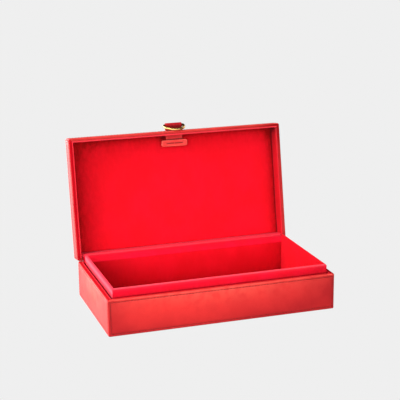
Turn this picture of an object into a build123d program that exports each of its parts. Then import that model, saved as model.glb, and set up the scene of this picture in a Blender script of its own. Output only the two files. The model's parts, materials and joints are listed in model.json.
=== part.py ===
from build123d import *
from math import asin, cos, hypot, radians, sin, sqrt, tan
import os

os.makedirs("parts", exist_ok=True)

# A leather-covered stationery box: a wooden base and lid, each covered outside in leather
# and lined in suede, joined by two brass butt hinges. All sizes are in millimetres.
# The origin is the middle of the underside, with the front towards -Y and +Z up.
# Lid pieces are drawn where they lie with the lid down, and lid_pose then swings them open.

# Overall sizes
box_width = 320.0
box_depth = 175.0
base_height = 50.3
lid_height = 24.0
rim_gap = 0.4
lid_open_angle = 100.2

# Covering, from the outside in
corner_radius = 3.0
edge_radius = 1.4
leather_thickness = 1.0
leather_turn_in = 9.0
underside_margin = 0.3
mitre_reach = 15.0

# Wooden boards
wall_board_thickness = 3.2
base_board_thickness = 3.0
lid_board_thickness = 2.4

# Suede linings of the walls, the lid panel and the padded floor
lining_thickness = 2.0
lining_edge_radius = 0.8
back_pad_thickness = 4.8
back_pad_lift = 3.3
back_pad_radius = 1.8
lid_panel_thickness = 1.2
floor_pad_thickness = 2.4
floor_pad_radius = 1.0
fitting_gap = 0.1

# The padded liner that stands proud of the base rim and guides the lid
collar_height = 12.2
collar_thickness = 3.0
collar_setback = 2.4
collar_top_radius = 1.3
collar_end_radius = 4.0
liner_foot_drop = 3.0
back_liner_thickness = 3.3
back_liner_height = 0.3
back_liner_radius = 1.0

# Suede strip that bridges the hinge gap from the back liner to the lid's back pad
strip_thickness = 1.0
strip_setback = 0.7
strip_crown = 1.1
strip_end_gap = 0.4
strip_side_gap = 0.5

# Brass butt hinges
hinge_spacing = 200.0
hinge_length = 38.0
leaf_width = 4.0
leaf_gap = 0.2
knuckle_radius = 1.5
knuckle_count = 3
knuckle_end_gap = 0.1
knuckle_side_gap = 0.12
pin_radius = 0.6
pin_clearance = 0.05
pin_head_radius = 1.1
pin_head_length = 0.7
seat_clearance = 0.25

# Countersunk screws through the hinge leaves into the board edges
screw_count = 2
screw_pitch = 20.0
screw_inset = 2.8
screw_length = 8.0
screw_radius = 0.6
screw_head_radius = 1.0
screw_angle = 82.0
screw_clearance = 0.05
screw_sides = 12

# Leather pull strap, its keeper inside the lid, and the brass ring
strap_width = 24.8
strap_thickness = 3.0
strap_clearance = 0.15
loop_reach = 7.8
loop_wall = 1.5
keeper_width = 39.0
keeper_setback = 7.3
keeper_length = 9.5
keeper_thickness = 4.2
keeper_corner_radius = 2.4
keeper_edge_chamfer = 0.8
keeper_pocket_depth = 4.0
ring_wire_radius = 2.0
ring_wire_sides = 12
ring_clearance = 0.1
ring_corner_radius = 2.3
ring_rest_gap = 0.25

# Heights and insets that follow from the sizes above
wall_cover = leather_thickness + wall_board_thickness
wall_inset = wall_cover + lining_thickness
board_top = leather_thickness + base_board_thickness
lid_rim = base_height + rim_gap
lid_top = lid_rim + lid_height
lid_board_top = lid_top - leather_thickness
lid_board_bottom = lid_board_top - lid_board_thickness
panel_face = lid_board_bottom - lid_panel_thickness
seam_height = base_height + rim_gap / 2
liner_inset = wall_inset + collar_setback + collar_thickness
back_liner_inset = wall_inset + back_liner_thickness
liner_top = base_height + collar_height
back_liner_top = base_height + back_liner_height
back_pad_inset = wall_cover + back_pad_thickness
back_pad_low = lid_rim + back_pad_lift
strap_height = panel_face - fitting_gap - keeper_thickness / 2
loop_radius = ring_wire_radius + ring_clearance + loop_wall

half_width = box_width / 2
front_face = -box_depth / 2
back_face = box_depth / 2

# The lid turns on this line, along the outer back edge at the seam
hinge_origin = (0, back_face, seam_height)
base_pose = Location((0, 0, 0))
lid_swing = Location((0, 0, 0), (-lid_open_angle, 0, 0))
lid_pose = Location(hinge_origin) * lid_swing * Location((0, -back_face, -seam_height))

outward = {
    "front": Vector(0, -1, 0),
    "back": Vector(0, 1, 0),
    "left": Vector(-1, 0, 0),
    "right": Vector(1, 0, 0),
}
up = Vector(0, 0, 1)


def half_depth(side):
    """Distance from the middle of the box to the outer face of a side."""
    return box_depth / 2 if side in ("front", "back") else box_width / 2


def half_length(side):
    """Half the length of a side, along its wall."""
    return box_width / 2 if side in ("front", "back") else box_depth / 2


def carried(pose, plane):
    """A plane of the closed box, where the pose carries it."""
    return Plane(pose * plane.location)


def section(pose, side, shift=0):
    """Plane across a wall: x runs inward from its outer face, and y is the height."""
    inward = -outward[side]
    along = Vector(abs(inward.Y), abs(inward.X), 0)
    origin = outward[side] * half_depth(side) + along * shift
    return carried(pose, Plane(origin=origin, x_dir=inward, z_dir=inward.cross(up)))


def level(pose, height):
    """Horizontal plane at a height of the closed box, carried by the pose."""
    return carried(pose, Plane.XY.offset(height))


def section_box(outer, inner, low, high, mode=Mode.ADD):
    """Rectangle in a wall section, between two insets and two heights."""
    with Locations(((outer + inner) / 2, (low + high) / 2)):
        Rectangle(inner - outer, high - low, mode=mode)


def corners_at(profile, height):
    """Corners of a wall section that lie at one height, the innermost last."""
    return profile.vertices().filter_by_position(Axis.Y, height - 0.01, height + 0.01).sort_by(Axis.X)


def rounded_plan(inset):
    """Plan of the box at an inset from its outer faces, with rounded corners."""
    RectangleRounded(box_width - 2 * inset, box_depth - 2 * inset, corner_radius - inset)


def mitred_plan(side, inset, reach):
    """Plan of one side of a frame, cut at 45 degrees at both ends."""
    depth = half_depth(side) - inset
    length = half_length(side) - inset
    away = outward[side]
    along = away.cross(up)
    outer_end = away * depth + along * length
    outer_start = away * depth - along * length
    inner_start = away * (depth - reach) - along * (length - reach)
    inner_end = away * (depth - reach) + along * (length - reach)
    corners = (outer_end, outer_start, inner_start, inner_end)
    Polygon(*[(corner.X, corner.Y) for corner in corners], align=None)


def finish(piece, name):
    """Labels a finished piece and writes its file."""
    piece.part.label = name
    export_step(piece.part, f"parts/{name}.step")


def hinge_centres():
    """Middle of each hinge along the back edge."""
    return {"left": -hinge_spacing / 2, "right": hinge_spacing / 2}


def screw_places(centres):
    """The screws of the hinges at these centres, in plan."""
    first = -screw_pitch * (screw_count - 1) / 2
    offsets = [first + screw_pitch * number for number in range(screw_count)]
    return [(centre + offset, back_face - screw_inset) for centre in centres for offset in offsets]


def cut_hinge_seats(pose):
    """Recesses for the hinge leaves and barrels, in the back piece being built."""
    half_seat = hinge_length / 2 + pin_head_length + seat_clearance
    for centre in hinge_centres().values():
        with BuildSketch(section(pose, "back", centre)) as seat:
            section_box(-seat_clearance, leaf_width + seat_clearance, leaf_low, leaf_high)
            with Locations((0, seam_height)):
                Circle(knuckle_radius + seat_clearance)
        extrude(seat.sketch, amount=half_seat, both=True, mode=Mode.SUBTRACT)


def cut_screw_holes(pose, face, direction):
    """Pilot holes for the hinge screws, in the board being built."""
    with BuildSketch(level(pose, face)) as holes:
        with Locations(*screw_places(hinge_centres().values())):
            RegularPolygon(screw_radius + screw_clearance, screw_sides)
    depth = direction * (screw_length + screw_clearance)
    extrude(holes.sketch, amount=depth, mode=Mode.SUBTRACT)


def cut_strap_slot():
    """Slot for the pull strap, in the lid's front piece being built."""
    half_slot = strap_thickness / 2 + strap_clearance
    with BuildSketch(section(lid_pose, "front")) as slot:
        section_box(0, wall_inset, strap_height - half_slot, strap_height + half_slot)
    half_slot_width = strap_width / 2 + strap_clearance
    extrude(slot.sketch, amount=half_slot_width, both=True, mode=Mode.SUBTRACT)


def add_covered_box(pose, low, high):
    """The whole leather-covered box of the base or lid, with its edges rounded."""
    with BuildSketch(level(pose, low)) as plan:
        rounded_plan(0)
    box = extrude(plan.sketch, amount=high - low)
    ends = box.faces().sort_by(Axis((0, 0, 0), level(pose, 0).z_dir))
    fillet(ends[0].edges() + ends[-1].edges(), radius=edge_radius)


def build_leather_side(name, pose, side, low, high, board_low, board_high, mouths):
    """A mitred leather panel that covers one side and turns over at its edges."""
    with BuildPart() as leather:
        add_covered_box(pose, low, high)
        # room for the boards
        with BuildSketch(level(pose, board_low)):
            rounded_plan(leather_thickness)
        extrude(amount=board_high - board_low, mode=Mode.SUBTRACT)
        # what the turned edges leave open
        for mouth_low, mouth_high, inset in mouths:
            with BuildSketch(level(pose, mouth_low)):
                Rectangle(box_width - 2 * inset, box_depth - 2 * inset)
            extrude(amount=mouth_high - mouth_low, mode=Mode.SUBTRACT)
        # one side of the cover
        with BuildSketch(level(pose, low)):
            mitred_plan(side, 0, mitre_reach)
        extrude(amount=high - low, mode=Mode.INTERSECT)
        if side == "back":
            cut_hinge_seats(pose)
        if name == "lid_front_leather":
            cut_strap_slot()
    finish(leather, name)


def build_wall_board(name, pose, side, low, high):
    """A wall board; the side ones fit between the front and the back."""
    length = half_length(side) - leather_thickness
    if side in ("left", "right"):
        length -= wall_board_thickness
    with BuildPart() as board:
        with BuildSketch(section(pose, side)):
            section_box(leather_thickness, wall_cover, low, high)
        extrude(amount=length, both=True)
        with BuildSketch(level(pose, low)):
            rounded_plan(leather_thickness)
        extrude(amount=high - low, mode=Mode.INTERSECT)
        if side == "back":
            cut_hinge_seats(pose)
        if name == "base_back_board":
            cut_screw_holes(base_pose, base_leaf_face, -1)
        if name == "lid_back_board":
            cut_screw_holes(lid_pose, lid_leaf_face, 1)
        if name == "lid_front_board":
            cut_strap_slot()
    finish(board, name)


def build_flat_board(name, pose, low, thickness):
    """The full board that closes the base or the lid."""
    with BuildPart() as board:
        with BuildSketch(level(pose, low)):
            rounded_plan(leather_thickness)
        extrude(amount=thickness)
    finish(board, name)


def build_lining(name, pose, side, low, high, rim, ends):
    """A suede-covered card on one wall; ends are its insets at -X or -Y and at +X or +Y."""
    start_inset, end_inset = ends
    shift = (start_inset - end_inset) / 2
    length = 2 * half_length(side) - start_inset - end_inset
    with BuildPart() as lining:
        with BuildSketch(section(pose, side, shift)) as profile:
            section_box(wall_cover, wall_inset, low, high)
            fillet(corners_at(profile, rim), radius=lining_edge_radius)
        extrude(amount=length / 2, both=True)
        if name == "lid_front_lining":
            cut_strap_slot()
    finish(lining, name)


def build_side_liner(name, side):
    """A side wall of the liner: a thick foot, and a thin rounded collar above the rim."""
    sign = outward[side].X
    outer = wall_inset + fitting_gap
    front_end = front_face + outer
    back_end = back_face - back_liner_inset
    with BuildPart() as wall:
        with BuildSketch(section(base_pose, side)) as profile:
            section_box(outer, liner_inset, board_top, liner_top)
            section_box(outer, collar_inset, liner_foot_top, liner_top, mode=Mode.SUBTRACT)
            fillet(corners_at(profile, liner_top), radius=collar_top_radius)
        extrude(amount=half_length(side), both=True)
        # mitred at the front, square against the back liner
        with BuildSketch(Plane.XY.offset(board_top)):
            with BuildLine():
                Polyline(
                    (sign * (half_width - outer), front_end),
                    (sign * (half_width - liner_inset), front_face + liner_inset),
                    (sign * (half_width - liner_inset), back_end),
                    (sign * (half_width - outer), back_end),
                    close=True,
                )
            make_face()
        extrude(amount=liner_top - board_top, mode=Mode.INTERSECT)
        # the collar's back end is rounded off above the rim
        with BuildSketch(Plane.YZ) as outline:
            with Locations(((front_end + back_end) / 2, (board_top + liner_top) / 2)):
                Rectangle(back_end - front_end, liner_top - board_top)
            back_top = outline.vertices().group_by(Axis.X)[-1].sort_by(Axis.Y)[-1]
            fillet(back_top, radius=collar_end_radius)
        extrude(amount=half_width, both=True, mode=Mode.INTERSECT)
    finish(wall, name)


def build_leaf(name, pose, centre, face, low, high, direction, first_knuckle):
    """A hinge leaf: a narrow plate let in under the leather, and every other knuckle."""
    pitch = hinge_length / knuckle_count
    plate_start = knuckle_radius + knuckle_side_gap
    head_depth = (screw_head_radius - screw_radius) / tan(radians(screw_angle / 2))
    with BuildPart() as leaf:
        with BuildSketch(section(pose, "back", centre)):
            section_box(plate_start, leaf_width, low, high)
        extrude(amount=hinge_length / 2, both=True)
        for number in range(first_knuckle, knuckle_count, 2):
            offset = (number - (knuckle_count - 1) / 2) * pitch
            with BuildSketch(section(pose, "back", centre + offset)):
                section_box(0, plate_start, low, high)
                with Locations((0, seam_height)):
                    Circle(knuckle_radius)
            extrude(amount=(pitch - knuckle_end_gap) / 2, both=True)
        with BuildSketch(section(pose, "back", centre)):
            with Locations((0, seam_height)):
                Circle(pin_radius + pin_clearance)
        extrude(amount=hinge_length / 2, both=True, mode=Mode.SUBTRACT)
        # countersunk screw holes
        for radius, depth, taper in (
            (screw_head_radius + screw_clearance, head_depth, screw_angle / 2),
            (screw_radius + screw_clearance, 2 * (high - low), 0),
        ):
            with BuildSketch(level(pose, face)):
                with Locations(*screw_places([centre])):
                    RegularPolygon(radius, screw_sides)
            extrude(amount=direction * depth, taper=taper, mode=Mode.SUBTRACT)
    finish(leaf, name)


def build_screws(name, pose, face, direction):
    """The countersunk screws of the leaves on one side of the seam."""
    head_depth = (screw_head_radius - screw_radius) / tan(radians(screw_angle / 2))
    places = screw_places(hinge_centres().values())
    with BuildPart() as screws:
        with BuildSketch(level(pose, face)):
            with Locations(*places):
                RegularPolygon(screw_head_radius, screw_sides)
        extrude(amount=direction * head_depth, taper=screw_angle / 2)
        with BuildSketch(level(pose, face)):
            with Locations(*places):
                RegularPolygon(screw_radius, screw_sides)
        extrude(amount=direction * screw_length)
    finish(screws, name)


def build_pin(name, centre):
    """A hinge pin with a head at each end."""
    with BuildPart() as pin:
        with BuildSketch(section(base_pose, "back", centre)):
            with Locations((0, seam_height)):
                Circle(pin_radius)
        extrude(amount=hinge_length / 2, both=True)
        for end in (-1, 1):
            start = centre + end * (hinge_length + pin_head_length) / 2
            with BuildSketch(section(base_pose, "back", start)):
                with Locations((0, seam_height)):
                    Circle(pin_head_radius)
            extrude(amount=pin_head_length / 2, both=True)
    finish(pin, name)


# Leather covers: four mitred sides each, a sheet under the base and one over the lid
leaf_low = base_height - leather_thickness
leaf_high = lid_rim + leather_thickness
base_leaf_face = seam_height - leaf_gap / 2
lid_leaf_face = seam_height + leaf_gap / 2

base_mouths = [
    (0, leather_thickness, leather_turn_in),
    (leaf_low, base_height, wall_cover),
]
lid_mouths = [
    (lid_rim, leaf_high, wall_cover),
    (lid_board_top, lid_top, -leather_thickness),
]
for side in outward:
    build_leather_side(
        f"base_{side}_leather", base_pose, side, 0, base_height, leather_thickness, leaf_low, base_mouths
    )
    build_leather_side(
        f"lid_{side}_leather", lid_pose, side, lid_rim, lid_top, leaf_high, lid_board_top, lid_mouths
    )

with BuildPart() as lid_top_leather:
    add_covered_box(lid_pose, lid_rim, lid_top)
    with BuildSketch(level(lid_pose, lid_rim)):
        Rectangle(box_width, box_depth)
    extrude(amount=lid_board_top - lid_rim, mode=Mode.SUBTRACT)
finish(lid_top_leather, "lid_top_leather")

cover_inset = leather_turn_in + underside_margin
with BuildPart() as underside_cover:
    with BuildSketch(Plane.XY):
        RectangleRounded(box_width - 2 * cover_inset, box_depth - 2 * cover_inset, corner_radius)
    extrude(amount=leather_thickness)
finish(underside_cover, "underside_cover")

# Wooden carcasses
build_flat_board("base_bottom_board", base_pose, leather_thickness, base_board_thickness)
build_flat_board("lid_top_board", lid_pose, lid_board_bottom, lid_board_thickness)
for side in outward:
    build_wall_board(f"base_{side}_board", base_pose, side, board_top, leaf_low)
    build_wall_board(f"lid_{side}_board", lid_pose, side, leaf_high, lid_board_bottom)

# Suede linings of the base walls and of the lid's front and sides
front_ends = (wall_cover, wall_cover)
side_ends = (wall_inset, wall_cover)
back_ends = (wall_inset, wall_inset)
for side, ends in (("front", front_ends), ("left", side_ends), ("right", side_ends)):
    build_lining(f"base_{side}_lining", base_pose, side, board_top, base_height, base_height, ends)
    build_lining(f"lid_{side}_lining", lid_pose, side, lid_rim, lid_board_bottom, lid_rim, ends)
build_lining("base_back_lining", base_pose, "back", board_top, base_height, base_height, back_ends)

# The thicker pad along the back of the lid, above the hinge strip
with BuildPart() as lid_back_pad:
    with BuildSketch(section(lid_pose, "back")) as profile:
        section_box(wall_cover, back_pad_inset, back_pad_low, lid_board_bottom)
        fillet(corners_at(profile, back_pad_low)[-1:], radius=back_pad_radius)
    extrude(amount=half_width - wall_inset, both=True)
finish(lid_back_pad, "lid_back_pad")

# Suede panel inside the lid
panel_width = box_width - 2 * (wall_inset + fitting_gap)
panel_front = front_face + wall_inset + fitting_gap
panel_back = back_face - back_pad_inset - fitting_gap
with BuildPart() as lid_panel:
    with BuildSketch(level(lid_pose, panel_face)):
        with Locations((0, (panel_front + panel_back) / 2)):
            Rectangle(panel_width, panel_back - panel_front)
    extrude(amount=lid_panel_thickness)
finish(lid_panel, "lid_panel")

# Liner of the base: four suede walls round a padded floor
collar_inset = wall_inset + collar_setback
liner_foot_top = base_height - liner_foot_drop
build_side_liner("liner_left", "left")
build_side_liner("liner_right", "right")

with BuildPart() as liner_front:
    with BuildSketch(section(base_pose, "front")) as profile:
        section_box(wall_inset + fitting_gap, liner_inset, board_top, liner_top)
        section_box(
            wall_inset + fitting_gap, collar_inset, liner_foot_top, liner_top, mode=Mode.SUBTRACT
        )
        fillet(corners_at(profile, liner_top), radius=collar_top_radius)
    extrude(amount=half_width, both=True)
    with BuildSketch(Plane.XY.offset(board_top)):
        mitred_plan("front", wall_inset + fitting_gap, liner_inset - wall_inset - fitting_gap)
    extrude(amount=liner_top - board_top, mode=Mode.INTERSECT)
finish(liner_front, "liner_front")

with BuildPart() as liner_back:
    with BuildSketch(section(base_pose, "back")) as profile:
        section_box(wall_inset + fitting_gap, back_liner_inset, board_top, back_liner_top)
        fillet(corners_at(profile, back_liner_top)[-1:], radius=back_liner_radius)
    extrude(amount=half_width - wall_inset - fitting_gap, both=True)
finish(liner_back, "liner_back")

floor_width = box_width - 2 * (liner_inset + fitting_gap)
floor_front = front_face + liner_inset + fitting_gap
floor_back = back_face - back_liner_inset - fitting_gap
with BuildPart() as liner_floor:
    with BuildSketch(Plane.XY.offset(board_top)):
        with Locations((0, (floor_front + floor_back) / 2)):
            Rectangle(floor_width, floor_back - floor_front)
    extrude(amount=floor_pad_thickness)
    fillet(liner_floor.faces().sort_by(Axis.Z)[-1].edges(), radius=floor_pad_radius)
finish(liner_floor, "liner_floor")

# Suede strip over the hinge gap, pulled straight when the lid is open
strip_start = (back_face - back_liner_inset + strip_setback, back_liner_top + strip_thickness / 2)
strip_seat = lid_pose * Location(
    (0, back_face - back_pad_inset + back_pad_radius, back_pad_low - strip_end_gap)
)
strip_end = (strip_seat.position.Y, strip_seat.position.Z)
strip_middle = (
    (strip_start[0] + strip_end[0]) / 2,
    (strip_start[1] + strip_end[1]) / 2 + strip_crown,
)
with BuildPart() as hinge_lining:
    with BuildSketch(Plane.YZ):
        with BuildLine():
            ThreePointArc(strip_start, strip_middle, strip_end)
        trace(line_width=strip_thickness)
        with Locations((strip_start[0], back_liner_top - strip_thickness / 2)):
            Rectangle(2 * back_liner_thickness, strip_thickness, mode=Mode.SUBTRACT)
    extrude(amount=half_width - wall_inset - strip_side_gap, both=True)
finish(hinge_lining, "hinge_lining")

# Brass hinges
for hand, centre in hinge_centres().items():
    build_leaf(
        f"{hand}_hinge_base_leaf", base_pose, centre, base_leaf_face, leaf_low, base_leaf_face, -1, 0
    )
    build_leaf(
        f"{hand}_hinge_lid_leaf", lid_pose, centre, lid_leaf_face, lid_leaf_face, leaf_high, 1, 1
    )
    build_pin(f"{hand}_hinge_pin", centre)
build_screws("base_hinge_screws", base_pose, base_leaf_face, -1)
build_screws("lid_hinge_screws", lid_pose, lid_leaf_face, 1)

# Pull strap: looped round the ring's bar outside, and held by the keeper inside
keeper_start = wall_inset + keeper_setback
with BuildPart() as pull_strap:
    with BuildSketch(section(lid_pose, "front")) as profile:
        with Locations((-loop_reach, strap_height)):
            Circle(loop_radius)
        section_box(
            -strap_clearance, 0, strap_height - strap_thickness / 2, strap_height + strap_thickness / 2
        )
        make_hull()
        section_box(
            0,
            keeper_start + keeper_pocket_depth - strap_clearance,
            strap_height - strap_thickness / 2,
            strap_height + strap_thickness / 2,
        )
        with Locations((-loop_reach, strap_height)):
            Circle(ring_wire_radius + ring_clearance, mode=Mode.SUBTRACT)
    extrude(amount=strap_width / 2, both=True)
finish(pull_strap, "pull_strap")

with BuildPart() as strap_keeper:
    with BuildSketch(level(lid_pose, strap_height - keeper_thickness / 2)):
        with Locations((0, front_face + keeper_start + keeper_length / 2)):
            RectangleRounded(keeper_width, keeper_length, keeper_corner_radius)
    extrude(amount=keeper_thickness)
    keeper_axis = Axis((0, 0, 0), level(lid_pose, 0).z_dir)
    chamfer(strap_keeper.faces().sort_by(keeper_axis)[0].edges(), length=keeper_edge_chamfer)
    half_slot = strap_thickness / 2 + strap_clearance
    with BuildSketch(section(lid_pose, "front")):
        section_box(
            keeper_start,
            keeper_start + keeper_pocket_depth,
            strap_height - half_slot,
            strap_height + half_slot,
        )
    extrude(amount=strap_width / 2 + strap_clearance, both=True, mode=Mode.SUBTRACT)
finish(strap_keeper, "strap_keeper")

# Ring: its straight bar turns in the loop, and its bow rests in the seam of the front edge
seat_distance = ring_wire_radius + edge_radius + ring_rest_gap
ring_seat_reach = sqrt(seat_distance**2 - (edge_radius + rim_gap / 2) ** 2) - edge_radius
ring_drop = strap_height - seam_height
ring_length = hypot(ring_drop, loop_reach - ring_seat_reach)
ring_tilt = asin((loop_reach - ring_seat_reach) / ring_length)
ring_slope = (0, -cos(ring_tilt), -sin(ring_tilt))
loop_centre = (0, front_face - loop_reach, strap_height)
ring_plane = carried(lid_pose, Plane(origin=loop_centre, x_dir=(1, 0, 0), z_dir=ring_slope))
bar_half = strap_width / 2
bow_radius = bar_half + ring_corner_radius
bow_depth = ring_length - bow_radius
with BuildPart() as pull_ring:
    with BuildLine(ring_plane) as outline:
        bar = Line((-bar_half, 0), (bar_half, 0))
        CenterArc((bar_half, -ring_corner_radius), ring_corner_radius, 90, -90)
        Line((bow_radius, -ring_corner_radius), (bow_radius, -bow_depth))
        CenterArc((0, -bow_depth), bow_radius, 0, -180)
        Line((-bow_radius, -bow_depth), (-bow_radius, -ring_corner_radius))
        CenterArc((-bar_half, -ring_corner_radius), ring_corner_radius, 180, -90)
    with BuildSketch(Plane(origin=bar @ 0.5, z_dir=bar % 0.5)):
        RegularPolygon(ring_wire_radius, ring_wire_sides)
    sweep(path=outline.wire())
finish(pull_ring, "pull_ring")
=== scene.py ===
import json
import math
import random

import bmesh
import bpy
from mathutils import Matrix, Vector, noise


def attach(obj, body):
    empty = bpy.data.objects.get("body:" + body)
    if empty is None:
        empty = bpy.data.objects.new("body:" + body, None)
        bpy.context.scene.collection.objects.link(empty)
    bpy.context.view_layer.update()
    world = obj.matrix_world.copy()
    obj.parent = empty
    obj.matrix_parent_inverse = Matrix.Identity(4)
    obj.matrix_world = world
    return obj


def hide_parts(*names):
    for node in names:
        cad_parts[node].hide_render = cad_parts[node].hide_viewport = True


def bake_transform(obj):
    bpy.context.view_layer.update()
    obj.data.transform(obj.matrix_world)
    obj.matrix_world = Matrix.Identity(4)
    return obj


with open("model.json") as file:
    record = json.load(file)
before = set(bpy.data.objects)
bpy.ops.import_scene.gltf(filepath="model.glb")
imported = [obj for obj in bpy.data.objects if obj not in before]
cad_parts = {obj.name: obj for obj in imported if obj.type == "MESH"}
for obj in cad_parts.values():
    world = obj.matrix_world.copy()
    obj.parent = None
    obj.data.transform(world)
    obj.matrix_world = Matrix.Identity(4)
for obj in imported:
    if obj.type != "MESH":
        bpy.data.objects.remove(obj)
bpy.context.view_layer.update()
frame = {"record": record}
random.seed(11)
print("frame loaded")

# Sizes are in millimetres, with the lid shut, and become metres when a mesh is made.
millimetre = 0.001
boxSizes = {
    "width": 320.0, "depth": 175.0, "baseHeight": 50.3, "lidRim": 50.7, "lidTop": 74.7,
    "cornerRadius": 3.0, "edgeRadius": 1.4,
    "spineRadius": 0.12,  # the rims along the hinge
    "leather": 1.0,
    "wallCover": 4.2,  # leather and board
    "wallInset": 6.2,  # and the suede lining too
    "turnedUnder": 9.0,  # how far the leather goes in under the base
    "boardTop": 4.0, "lidBoardTop": 73.7, "lidBoardBottom": 71.3,
}
halfWidth, halfDepth = boxSizes["width"] / 2, boxSizes["depth"] / 2
# half a side's length, and how far out the side stands
halfSizes = {
    "front": (halfWidth, halfDepth), "back": (halfWidth, halfDepth),
    "left": (halfDepth, halfWidth), "right": (halfDepth, halfWidth),
}
outward = {
    "front": Vector((0, -1, 0)), "back": Vector((0, 1, 0)),
    "left": Vector((-1, 0, 0)), "right": Vector((1, 0, 0)),
}
up = Vector((0, 0, 1))

# The lid is stored open: this carries a point of the shut lid to where it rests
lidHinge = next(j for j in frame["record"]["behaviour"]["joints"] if j["name"] == "lid_hinge")
hingePoint = Vector(lidHinge["pos_m"]) / millimetre
openAngle = -math.radians(lidHinge["range_deg"][1])
lidOpen = (
    Matrix.Translation(hingePoint) @ Matrix.Rotation(openAngle, 4, "X") @ Matrix.Translation(-hingePoint)
)
restPose = {"base": Matrix.Identity(4), "lid": lidOpen, "ring": lidOpen, None: Matrix.Identity(4)}


def clamp(value, low=0.0, high=1.0):
    return min(max(value, low), high)


def faded(distance, amount, reach):
    return amount * math.exp(-distance / reach)


def ramp(distance, amount, reach):
    return amount * max(0.0, 1 - distance / reach)


def hump(distance, reach):
    return math.exp(-((distance / reach) ** 2))


# Materials
def newMaterial(name):
    material = bpy.data.materials.new(name)
    material.use_nodes = True
    return material, material.node_tree


def feed(tree, socket, value):
    # a socket takes another node's output or a plain value
    if hasattr(value, "is_output"):
        tree.links.new(value, socket)
    else:
        socket.default_value = value


def addNode(tree, kind, inputs=None, **settings):
    node = tree.nodes.new(f"ShaderNode{kind}")
    for key, value in settings.items():
        setattr(node, key, value)
    for key, value in (inputs or {}).items():
        feed(tree, node.inputs[key], value)
    return node


def mathNode(tree, operation, first, second, **settings):
    return addNode(tree, "Math", {0: first, 1: second}, operation=operation, **settings).outputs[0]


def mixColour(tree, share, first, second):
    return addNode(tree, "Mix", {0: share, 6: first, 7: second}, data_type="RGBA").outputs[2]


def noiseAt(tree, scale, detail=2.0, roughness=0.5, stretch=(1, 1, 1)):
    place = addNode(tree, "TexCoord").outputs["Object"]
    spread = addNode(tree, "Mapping", {"Vector": place, "Scale": stretch}).outputs[0]
    inputs = {"Vector": spread, "Scale": scale, "Detail": detail, "Roughness": roughness}
    return addNode(tree, "TexNoise", inputs).outputs[0]


def ranged(tree, value, low, high, toLow=0.0, toHigh=1.0):
    inputs = {0: value, 1: low, 2: high, 3: toLow, 4: toHigh}
    return addNode(tree, "MapRange", inputs, interpolation_type="SMOOTHSTEP").outputs[0]


def marked(tree, name):
    # what a mesh says point by point: its wear, crease or burnish
    return addNode(tree, "Attribute", attribute_name=name).outputs["Fac"]


def bump(tree, height, strength, distance, **under):
    inputs = {"Height": height, "Strength": strength, "Distance": distance}
    return addNode(tree, "Bump", inputs | under).outputs[0]


def setShader(tree, values):
    sockets = tree.nodes["Principled BSDF"].inputs
    for key, value in values.items():
        feed(tree, sockets[key], value)


def sheenOf(finish):
    return {
        "Sheen Weight": finish["sheen"], "Sheen Roughness": finish["sheenRoughness"],
        "Sheen Tint": finish["sheenTint"],
    }


leatherFinish = {
    "colour": (0.62, 0.013, 0.011, 1), "deepAndShadeColour": (0.33, 0.0030, 0.0055, 1),
    "wornAndLitColour": (0.70, 0.080, 0.055, 1), "creaseColour": (0.10, 0.002, 0.002, 1),
    "grainSize": 0.00075, "grainHeight": 0.00006, "poreDepth": 0.00004, "buckle": 0.0006,  # metres
    "roughness": (0.42, 0.54), "dullRoughness": 0.85,
    "specular": 0.26, "sheen": 0.08, "sheenRoughness": 0.5, "sheenTint": (1.0, 0.78, 0.72, 1),
}
# rim copies of the leather: a dark one without glare (painted shade) and a paler one along the fronts
# (painted highlight); and the strap's softer hide
shadedRimFinish = {
    "colour": (0.60, 0.006, 0.012, 1), "deepAndShadeColour": (0.40, 0.0022, 0.0075, 1),
    "specular": 0.02, "sheen": 0.0,
}
litRimFinish = {
    "colour": (0.56, 0.032, 0.029, 1), "deepAndShadeColour": (0.26, 0.0010, 0.0025, 1),
    "specular": 0.09, "sheen": 0.0,
}
strapFinish = {
    "colour": (0.56, 0.030, 0.028, 1), "deepAndShadeColour": (0.40, 0.0015, 0.0060, 1),
    "specular": 0.20, "sheen": 0.02,
}


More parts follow.
